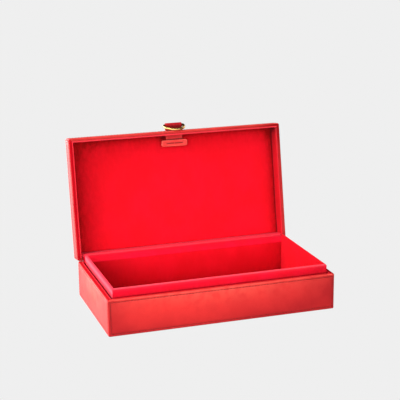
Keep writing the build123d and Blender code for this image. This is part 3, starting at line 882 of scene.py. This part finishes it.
floorPadLook = {
    "spanX": (-148.3, 148.3), "spanY": (-75.8, 77.9), "face": 6.4, "back": 4.0,
    "rounding": 1.2, "crown": 0.5, "crownReach": 8.0, "ripple": 0.18, "rippleSize": 30.0,
    "seed": 8.4, "fill": 0.7,
    # painted shade along the left, right, front and back edges: amount, reach
    "shadeDepth": ((0.6, 20.0), (0.5, 20.0), (0.5, 20.0), (0.5, 20.0)),
}


def shadeLidPanel(x, y):
    look = lidPanelLook
    away = 0.0
    for value, (low, high) in ((x, look["pocketX"]), (y, look["pocketY"])):
        away += ((value - (low + high) / 2) / (high - low) * 2.6) ** 2
    pocket = min(0.97, look["pocketShade"] * math.exp(-away))
    fromRight, fromFront = look["spanX"][1] - x, y - look["spanY"][0]
    corner = math.exp(-fromRight / look["cornerWidth"] - fromFront / look["cornerReach"])
    beyond = max(abs(x) - keeperLook["width"] / 2, y - look["keeperEnd"], 0.0)
    return max(pocket, min(0.95, look["cornerShade"] * corner)), faded(beyond, *look["keeper"])


pocketStops = (spaced(*lidPanelLook["pocketX"], 1.0), spaced(*lidPanelLook["pocketY"], 0.8))
paddedSlab("lidSuedePanel", lidPanelLook, "lid", ["lid_panel"], pocketStops, shadeLidPanel)
paddedSlab("trayFloorPad", floorPadLook, "base", ["liner_floor"])
print("suede pads made")


# Suede walls
suedeWall = {
    "waver": 0.10, "waverSize": 22.0, "waverLimit": 0.06, "steadyTop": 0.2, "fill": 0.9,
    "profileStep": 3.0, "step": 7.0,
}


def makeSuedeWall(
    name, side, corners, ends, body, replaced, nap, material=suede, crisp=60, extra=(), stops=None, trim=None,
):
    # nap gives the painted highlight, the painted shade in recesses and the painted shade elsewhere for a
    # place on the wall
    length = halfSizes[side][0]
    top = max(corner[1] for corner in corners)

    def relief(u, inset, height, corner):
        napHighlight, creased, shadeDepth = nap(u, inset, height)
        if height < top - suedeWall["steadyTop"]:
            waver = suedeWall["waver"] * swell(u, height, inset * 3, suedeWall["waverSize"], length)
            inset += min(waver, suedeWall["waverLimit"])
        return u, inset, height, napHighlight, creased, shadeDepth

    profile = roundedLoop(corners, suedeWall["profileStep"], extra)
    stops = stops or spaced(-length, length, suedeWall["step"])
    points, faces, marks = sweepSide(side, profile, stops, relief, ends)
    if trim:
        trim(points)
    piece = makePiece(name, points, faces, material, body, replaced, marks, crisp)


liningLook = {
    "outerRounding": 0.4, "innerRounding": 0.6,
    "gapShade": 0.5, "baseDarkening": 0.3,  # painted shade down in the gap beside the collar, and darker all over
    "lift": {"front": 0.22, "left": 0.12, "right": 0.12},  # painted highlight along the lid's rim
    "highlightReach": 1.2,
    "seam": (0.7, 1.2, 1.5),  # painted shade where the wall meets the lid's panel: amount, end, reach
    # painted shade on the lid's linings, side by side
    "lidShade": {"front": 0.25, "left": 0.25, "right": 0.4},
    # painted shade, darker towards the lid's front right corner, and there the deeper the darker
    "cornerDarkening": 0.6, "cornerRecessShade": 0.85, "cornerReach": 9, "cornerDepth": 8,
}
# lift: a painted highlight all over the lid's back pad
backPadLook = {"low": 54.0, "inset": 9.0, "rounding": 1.9, "lift": 0.16}


def makeLinings():
    sizes, look = boxSizes, liningLook
    outer, inner = sizes["wallCover"], sizes["wallInset"]
    soft, softer = look["outerRounding"], look["innerRounding"]
    # an end inset for the start and the end of each side, going round from its left
    ends = {
        "front": (outer, outer), "right": (inner, outer), "back": (inner, inner), "left": (outer, inner),
    }
    low, top = sizes["boardTop"], sizes["baseHeight"]
    rim, panel = sizes["lidRim"], sizes["lidBoardBottom"]

    # painted shade in the gap beside the collar, and darker all over
    def baseLiningShade(u, inset, height):
        inGap = inset > inner - 0.3 and height < top - 0.5
        return 0.0, look["gapShade"] if inGap else 0.0, look["baseDarkening"]

    for side in ends:
        makeSuedeWall(
            f"base{side.capitalize()}Lining", side,
            [(outer, low, 0), (outer, top, soft), (inner, top, softer), (inner, low, 0)],
            ends[side], "base", [f"base_{side}_lining"], baseLiningShade, crisp=50, extra=(top - 1.0, top - 1.6),
        )
        if side == "back":
            continue

        # painted highlight along the rim, painted shade along the panel and towards the front right corner
        def lidLiningShade(u, inset, height):
            napHighlight = look["lift"][side] * hump(height - rim, look["highlightReach"])
            amount, end, reach = look["seam"]
            creased = ramp(panel - end - height, amount, reach)
            shadeDepth = look["lidShade"][side]
            if side == "right":
                corner = math.exp(-(halfSizes[side][0] + u - inner) / look["cornerReach"])
                shadeDepth += look["cornerDarkening"] * corner
                depth = clamp((height - rim - 2) / look["cornerDepth"])
                creased = max(creased, look["cornerRecessShade"] * corner * depth)
            return napHighlight, creased, min(shadeDepth, 1.0)

        makeSuedeWall(
            f"lid{side.capitalize()}Lining", side,
            [(outer, panel, 0), (outer, rim, soft), (inner, rim, softer), (inner, panel, 0)],
            ends[side], "lid", [f"lid_{side}_lining"], lidLiningShade, crisp=50, extra=(rim + 1.0, rim + 2.0),
        )
    pad = backPadLook
    makeSuedeWall(
        "lidBackPad", "back",
        [(outer, panel, 0), (outer, pad["low"], soft), (pad["inset"], pad["low"], pad["rounding"]),
         (pad["inset"], panel, 0)],
        (inner, inner), "lid", ["lid_back_pad"], lambda *place: (pad["lift"], 0.0, 0.0), pinkSheenSuede, 50,
    )


makeLinings()
print("suede linings made")

collarLook = {
    "foot": 47.3, "top": 62.5, "outer": 6.3, "collar": 8.6, "inner": 11.6,
    "outerRounding": 2.1, "innerRounding": 0.75, "backTop": 50.6, "backInner": 9.5, "endRadius": 4.0,
    "gapTop": 50.6,  # below this the collar is in the shade of the rim
    "padTop": 6.4,  # of the floor pad, at the foot of the walls
    # painted highlight along the top, and painted shade inside: at the ends, at the foot
    "nap": {"front": (0.36, 0.5, 0.4), "left": (0.50, 0.4, 0.4), "right": (0.10, 0.0, 0.0)},
    # how far below the top edge the painted highlight lies, its spread, and the width of the inner edge
    "lift": {"front": (0.0, 1.2, 0.4), "left": (4.8, 3.6, 0.9), "right": (0.0, 1.2, 0.4)},
    "rimShade": (0.5, 5.0), "frontEndShade": (0.5, 30.0), "endReach": 22.0, "footReach": 14.0,
    # painted shade on the inner edge of the left collar's top
    "leftEdgeShade": 0.6,
    # painted shade inside the back wall: at its right end, its left end and its foot
    "backRight": (0.65, 30.0), "backLeft": (0.55, 12.0), "backFoot": (0.42, 14.0),
}


def roundCollarEnd(points):
    # rounds off the top back corner of a side collar
    radius = collarLook["endRadius"]
    high = collarLook["top"] - radius
    end = boxSizes["depth"] / 2 - collarLook["backInner"] - radius
    for point in points:
        over, beyond = point.z - high, point.y - end
        if over > 0 and beyond > 0:
            scale = max(over, beyond) / math.hypot(over, beyond)
            point.z = high + over * scale
            point.y = end + beyond * scale


def collarShading(side):
    look = collarLook
    length = halfSizes[side][0]
    topHighlight, endShade, footShade = look["nap"][side]
    below, spread, edgeWidth = look["lift"][side]

    def nap(u, inset, height):
        # painted highlight along the top edge, and on the left side a little below it
        napHighlight = topHighlight * hump(max(look["top"] - 0.5 - height, 0.0) - below, spread)
        creased, shadeDepth = 0.0, 0.0
        # painted shade: outside at the foot below the rim and towards the front's right end, inside towards
        # the ends and the foot
        if inset < look["collar"] + 0.4:
            creased = 0.5 * clamp((look["gapTop"] + 0.9 - height) / 1.2)
            shadeDepth = faded(max(height - look["gapTop"], 0.0), *look["rimShade"])
            if side == "front":
                shadeDepth += faded(length - u, *look["frontEndShade"])
        elif height < look["top"] - 1.5:
            shadeDepth = faded(length - look["inner"] - abs(u), endShade, look["endReach"])
            shadeDepth += faded(height - look["padTop"], footShade, look["footReach"])
        if inset > look["inner"] - edgeWidth:
            napHighlight = 0.0
            if side == "left":
                shadeDepth = max(shadeDepth, look["leftEdgeShade"])
        return napHighlight, creased, min(shadeDepth, 0.95)

    return nap


def backLinerShade(u, inset, height):
    # the light hardly reaches the ends and the foot of the tray's back wall
    look = collarLook
    reach = halfSizes["back"][0] - look["inner"]
    shadeDepth = faded(reach - u, *look["backRight"]) if u > 0 else faded(reach + u, *look["backLeft"])
    return 0.0, 0.0, min(shadeDepth + faded(height - look["padTop"], *look["backFoot"]), 0.9)


def makeLiners():
    look = collarLook
    low, top, outer, back = boxSizes["boardTop"], look["top"], look["outer"], look["backInner"]
    corners = [
        (outer, low, 0), (outer, look["foot"], 0.5), (look["collar"], look["foot"], 0),
        (look["collar"], top, look["outerRounding"]), (look["inner"], top, look["innerRounding"]),
        (look["inner"], low, 0),
    ]
    gap = [look["gapTop"] + 0.3 * k for k in range(-1, 5)]  # where the shade begins
    makeSuedeWall(
        "frontLiner", "front", corners, ("mitre", "mitre"), "base", ["liner_front"], collarShading("front"),
        pinkSheenSuede, extra=gap,
    )
    nearEnd = [0.8 * k for k in range(1, 6)]  # where the end is rounded off
    for side, sign, ends, material in (
        ("left", -1, (back, "mitre"), pinkSheenSuede), ("right", 1, ("mitre", back), suede),
    ):
        length = halfSizes[side][0]
        stops = [sign * (length - near) for near in nearEnd] + spaced(-length, length, suedeWall["step"])
        makeSuedeWall(
            f"{side}Liner", side, corners, ends, "base", [f"liner_{side}"], collarShading(side), material,
            extra=gap + [top - near for near in nearEnd], stops=sorted(stops), trim=roundCollarEnd,
        )
    makeSuedeWall(
        "backLiner", "back",
        [(outer, low, 0), (outer, look["backTop"], 0.4), (back, look["backTop"], 1.0), (back, low, 0)],
        (outer, outer), "base", ["liner_back"], backLinerShade,
    )


makeLiners()
print("tray liner made")


# Hinge strip
stripLook = {
    "thickness": 0.9, "crown": 1.6, "crownLean": 0.3, "half": 153.3, "ripple": 0.16, "rippleSize": 26,
    # (y, z) in the open box: over the liner's inner edge and along its top
    "path": ((77.86, 49.7), (77.95, 50.6), (78.7, 51.3)),
    "padSeat": (80.3, 53.6),  # on the shut lid's back pad
    "lift": 0.35, "highlightAt": 0.97, "highlightSpread": 0.16,  # painted highlight along the pulled upper part
    # painted shade at the strip's two ends
    "stripEndShade": 0.85,
    "blendFrom": 1.2, "blendTo": 0.9,  # distances in from its two seats
}


def pathNormals(line):
    normals = []
    for place in range(len(line)):
        ahead = line[min(place + 1, len(line) - 1)] - line[max(place - 1, 0)]
        normals.append(Vector((-ahead.y, ahead.x)).normalized())
    return normals


def makeHingeStrip():
    # one suede band from the back liner to the lid's back pad, pulled straight by the open lid
    look = stripLook
    start = Vector(look["path"][-1])
    seat = lidOpen @ Vector((0, *look["padSeat"]))
    end = Vector((seat.y, seat.z))
    across = (end - start).normalized()
    line = [Vector(point) for point in look["path"][:-1]]
    for share in spaced(0, 1, 1 / 18):
        bulge = look["crown"] * math.sin(math.pi * share) * (1 - look["crownLean"] * share)
        line.append(start.lerp(end, share) + Vector((-across.y, across.x)) * bulge)
    normals = pathNormals(line)
    points, marks = [], {}
    stops = graded(-look["half"], look["half"], 6.0, (0.0, 0.5, 2.0, 5.0))
    there = [(place, 0.5) for place in range(len(line))]
    back = [(place, -0.5) for place in reversed(range(len(line)))]
    for x in stops:
        for place, offset in there + back:
            share = place / (len(line) - 1)
            loose = look["ripple"] * math.sin(math.pi * share)
            wave = loose * swell(x, line[place].x * 3, 0, look["rippleSize"], 5.5)
            spot = line[place] + normals[place] * (offset * look["thickness"] + wave)
            points.append(Vector((x, spot.x, spot.y)))
            # painted highlight along the pulled upper part, and painted shade at the ends
            napHighlight = look["lift"] * hump(share - look["highlightAt"], look["highlightSpread"])
            atEnd = look["half"] - abs(x) < 0.6
            mark(marks, wear=napHighlight, crease=look["stripEndShade"] if atEnd else 0.0, burnish=0.0)
    strip = makePiece(
        "hingeStrip", points, tube(2 * len(line), len(stops)), pinkSheenSuede, None,
        ["hinge_lining"], marks, crisp=60,
    )
    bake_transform(strip)


makeHingeStrip()
print("hinge strip made")


# Pull strap
strapLook = {
    "width": 24.8, "layer": 1.44, "edge": 0.55, "barOut": 7.8, "height": 67.9, "loop": 2.85,
    "innerEnd": 17.3, "split": 0.76, "loopSteps": 26,
    # painted shade where it goes under the keeper, and where it comes out of the wall
    "keeperShade": 1.3, "wallShade": (0.6, 1.6), "strength": 0.75, "darkest": 0.9,
    "edgeShade": 0.35, "edgeWearAndHighlight": 0.7, "edgeWidth": 1.2, "loopWear": 0.3,
    # painted shade inside the lid under its rim, and a deeper tone with painted shade on the loop outside
    "burnish": (0.5, 1.0),  # inside the lid, outside
}


def strapPath():
    # from the hidden inner end, out through the slot, round the ring's bar and back
    look = strapLook
    centre = Vector((-look["barOut"], 0.0))
    lean = math.atan2(look["split"], look["barOut"])
    tangent = lean + math.acos(look["loop"] / math.hypot(look["barOut"], look["split"]))
    inner = spaced(0.6, keeperLook["setback"] - 3.0, 2.4)
    inner += [keeperLook["setback"] - short for short in (2.2, 1.3, 0.3)] + [look["innerEnd"]]
    path = [Vector((x, look["split"])) for x in reversed(inner)]
    bend = []
    for share in spaced(0, 1, 1 / look["loopSteps"]):
        angle = tangent + (math.tau - 2 * tangent) * share
        bend.append(centre + Vector((math.cos(angle), math.sin(angle))) * look["loop"])
    path += [Vector((-0.4, look["split"] + 0.10)).lerp(bend[0], share) for share in (0.0, 0.35, 0.7)]
    return path + bend + [Vector((p.x, -p.y)) for p in reversed(path)]


def roundedStrap(width, thickness, edge):
    loop = []
    for quarter in quarters:
        loop += quarterArc(quarter, width / 2, thickness / 2, edge, 30)
        signX, signY, start = quarter
        if start in (0, 180):
            for share in (0.08, 0.3, 0.5, 0.7, 0.92):
                loop.append((signX * (width / 2 - edge) * (1 - 2 * share), signY * thickness / 2))
    return loop


def makePullStrap():
    look = strapLook
    path = strapPath()
    section = roundedStrap(look["width"], look["layer"], look["edge"])
    points, marks = [], {}
    inside, outside = look["burnish"]
    for place, normal in zip(path, pathNormals(path)):
        loop = clamp(-place.x / 2.0)  # 1 outside the lid
        # painted shade on the strap outside the lid, less round the ring's bar, and under the keeper and
        # where it leaves the wall
        shade = loop * clamp((place.x + look["barOut"] + 2.4) / 3.0)
        shade = max(shade, look["keeperShade"] * clamp(2.5 - (keeperLook["setback"] - place.x) / 0.9))
        shade = max(shade, faded(abs(place.x - boxSizes["wallInset"]), *look["wallShade"]))
        for x, rise in section:
            spot = place + normal * rise
            points.append(Vector((x, spot.x - halfDepth, look["height"] + spot.y)))
            toEdge = look["width"] / 2 - abs(x)
            rubAndHighlight = ramp(toEdge, look["edgeWearAndHighlight"], look["edgeWidth"]) if abs(rise) > 0.6 else 0.0
            edgeShade = look["edgeShade"] if toEdge < 0.05 else 0.0
            mark(
                marks, wear=rubAndHighlight * (1 - (1 - look["loopWear"]) * loop),
                crease=max(edgeShade, min(look["strength"] * shade, look["darkest"])),
                burnish=inside + (outside - inside) * loop,
            )
    makePiece(
        "pullStrapLeather", points, tube(len(section), len(path)), strapLeather, "lid",
        ["pull_strap"], marks, 60,
    )


def makeKeeper():
    look = keeperLook
    centre = (0.0, -halfDepth + look["setback"] + look["length"] / 2)
    size = (look["width"], look["length"])
    low = look["height"] - look["thickness"] / 2
    high = look["height"] + look["thickness"] / 2

    def groove(inset):
        return grooveAt((inset - look["seamInset"]) * look["seamSpread"])

    def inSeam(x):
        return any(start - 1 < x < end + 1 for start, end in look["rows"])

    insets = [(0.3, high), (0.0, high - 0.3)]
    for turn in range(0, 91, 15):
        x, y = onCircle(turn, look["rounding"])
        insets.append((look["rounding"] - x, low + look["rounding"] - y))
    face = low - look["faceSunk"]
    insets += [(inset, face + look["grooveDepth"] * groove(inset)) for inset in look["rings"]]
    loops, marks = [], {}
    for inset, height in insets:
        loop = roundedPlan(inset, look["corner"], height, centre, size, 1.5)
        # painted highlight round the edge of its face, painted shade in its seams
        onEdge = abs(height - low) < look["edgeWidth"] and inset < look["edgeWidth"]
        wear = look["edgeWearAndHighlight"] if onEdge else look["faceWear"]
        for p in loop:
            if height > face and inset > 1.5 and not inSeam(p.x):
                p.z = face
            mark(marks, wear=wear, crease=look["grooveShade"] * groove(inset) * inSeam(p.x))
        loops.append(loop)
    points, faces = stackLoops(loops)
    makePiece(
        "strapKeeperLeather", points, faces, leather, "lid", ["strap_keeper"], marks, 60
    )
    places = []
    for row in look["rows"]:
        places += stitchRows([Vector((x, centre[1], low)) for x in row], False)
    makeStitches("keeperStitches", places, -up, "lid", look["stitchScale"])


makePullStrap()
makeKeeper()
print("pull strap and keeper made")


# Ring
ringLook = {
    "wire": 1.93, "barHalf": 12.4, "corner": 2.3, "length": 18.38, "sides": 20,
    "tilt": 18.79,  # degrees
    "dark": 7.0, "burnish": 0.8,  # how far down from the bar it is dull, and how much
}


def makeRing():
    # a D-ring: the straight bar lies in the strap's loop, and the bow hangs from it
    look = ringLook
    corner, half = look["corner"], look["barHalf"]
    bow = half + corner
    low = look["length"] - bow
    elbow = []
    for turn in range(10, 90, 10):
        down, out = onCircle(turn, corner)
        elbow.append((half + out, corner - down))
    elbow.append((bow, corner))
    path = [(x, 0.0) for x in spaced(-half, half, 6.0)] + elbow
    for turn in range(0, 181, 5):
        x, drop = onCircle(turn, bow)
        path.append((x, low + drop))
    path += [(-x, drop) for x, drop in reversed(elbow)]
    tilt = math.radians(look["tilt"])
    fall = Vector((0, math.sin(tilt), -math.cos(tilt)))
    flat = Vector((0, math.cos(tilt), math.sin(tilt)))
    centre = Vector((0, -halfDepth - strapLook["barOut"], strapLook["height"]))
    line = [centre + Vector((1, 0, 0)) * x + fall * drop for x, drop in path]
    points, marks = [], {}
    total, sides = len(line), look["sides"]
    for index, place in enumerate(line):
        aside = (line[(index + 1) % total] - line[index - 1]).normalized().cross(flat)
        for side in range(sides):
            angle = math.tau * side / sides
            points.append(place + (aside * math.cos(angle) + flat * math.sin(angle)) * look["wire"])
        mark(marks, sides, burnish=look["burnish"] * clamp(1.6 - path[index][1] / look["dark"]))
    faces = tube(sides, total, caps=False, closed=True)
    makePiece("pullRing", points, faces, brass, "ring", ["pull_ring"], marks)


makeRing()
print("ring made")


# Carried-over parts
finishes = {"polished_brass": brass, "poplar_board": board, "underside_cloth": felt}
for entry in frame["record"]["subparts"]:
    part = bpy.data.objects.get(entry["node"])
    finish = finishes.get(entry["material_slot"])
    if part and finish:
        part.data.materials.clear()
        part.data.materials.append(finish)
print("brass, boards and felt dressed")


# Studio
cameraLook = {
    "place": (-489.88, -1475.18, 563.50),
    "yaw": 18.206, "pitch": 14.963, "roll": -0.5725,  # degrees
    "lens": 105.22, "sensor": 36.0, "farthest": 20.0,
}


def makeCamera(look):
    yaw, pitch, roll = (math.radians(look[key]) for key in ("yaw", "pitch", "roll"))
    right = Vector((math.cos(yaw), -math.sin(yaw), 0))
    ahead = Vector((math.sin(yaw) * math.cos(pitch), math.cos(yaw) * math.cos(pitch), -math.sin(pitch)))
    above = right.cross(ahead)
    tiltedRight = right * math.cos(roll) + above * math.sin(roll)
    tiltedAbove = above * math.cos(roll) - right * math.sin(roll)
    data = bpy.data.cameras.new("camera")
    data.lens = look["lens"]
    data.sensor_width = look["sensor"]
    data.clip_end = look["farthest"]
    camera = bpy.data.objects.new("camera", data)
    turned = Matrix((tiltedRight, tiltedAbove, -ahead)).transposed().to_4x4()
    camera.matrix_world = Matrix.Translation(Vector(look["place"]) * millimetre) @ turned
    bpy.context.scene.collection.objects.link(camera)
    bpy.context.scene.camera = camera


makeCamera(cameraLook)

studioLook = {"backdrop": (0.863, 0.863, 0.863, 1), "ambient": 0.0, "floorTone": 0.12, "floorHalf": 9}
middle = (0, 0, 0.07)
lampLook = {
    # name: place in metres, aim, width, height, watts
    "backLeftPanel": ((-1.60, 1.71, 0.45), middle, 1.5, 0.8, 170.0),
    "leftHigh": ((-1.543, 0.0, 1.909), middle, 1.2, 1.2, 44.0),
    "leftFront": ((-1.884, -1.088, 1.084), middle, 1.2, 1.2, 34.0),
    "leftLow": ((-1.193, -2.067, 0.321), middle, 0.9, 0.9, 26.0),
    "rightLow": ((1.193, -2.067, 0.321), middle, 0.9, 0.9, 20.0),
    "frontNear": ((-0.07, -0.46, 0.42), middle, 0.3, 0.2, 1.8),
    "rightBack": ((1.7, 0.9, 0.9), middle, 1.2, 1.2, 14.0),
    "frontSoft": ((0.0, -0.80, 0.12), (-0.05, 0, 0.05), 0.5, 0.16, 1.8),
}


def seenAndLit(tree, seen, lit, output):
    # the camera sees one shader, and everything else meets the other
    ray = addNode(tree, "LightPath").outputs["Is Camera Ray"]
    both = addNode(tree, "MixShader", {0: ray, 1: lit.outputs[0], 2: seen.outputs[0]})
    addNode(tree, output, {"Surface": both.outputs[0]})


def makeFloor():
    mesh = bpy.data.meshes.new("studioFloor")
    far = studioLook["floorHalf"]
    mesh.from_pydata([(-far, -far, 0), (far, -far, 0), (far, far, 0), (-far, far, 0)], [], [(0, 1, 2, 3)])
    floor = bpy.data.objects.new("studioFloor", mesh)
    bpy.context.scene.collection.objects.link(floor)
    material, tree = newMaterial("paleFloor")
    tree.nodes.clear()
    tone = studioLook["floorTone"]
    seen = addNode(tree, "Emission", {"Color": studioLook["backdrop"], "Strength": 1.0})
    lit = addNode(tree, "BsdfDiffuse", {"Color": (tone, tone, tone, 1)})
    seenAndLit(tree, seen, lit, "OutputMaterial")
    mesh.materials.append(material)


def makeWorld():
    world = bpy.data.worlds.new("studio")
    bpy.context.scene.world = world
    world.use_nodes = True
    tree = world.node_tree
    tree.nodes.clear()
    seen = addNode(tree, "Background", {"Color": studioLook["backdrop"], "Strength": 1.0})
    lit = addNode(tree, "Background", {"Color": (1, 1, 1, 1), "Strength": studioLook["ambient"]})
    seenAndLit(tree, seen, lit, "OutputWorld")


def makeLamps():
    for name, (place, target, width, height, power) in lampLook.items():
        data = bpy.data.lights.new(name, "AREA")
        data.shape = "RECTANGLE"
        data.size, data.size_y = width, height
        data.energy = power
        lamp = bpy.data.objects.new(name, data)
        lamp.visible_camera = False
        aim = (Vector(target) - Vector(place)).to_track_quat("-Z", "Y")
        lamp.matrix_world = Matrix.Translation(place) @ aim.to_matrix().to_4x4()
        bpy.context.scene.collection.objects.link(lamp)


makeFloor()
makeWorld()
makeLamps()
view = bpy.context.scene.view_settings
view.view_transform = "Standard"
view.look = "None"
print("studio made")
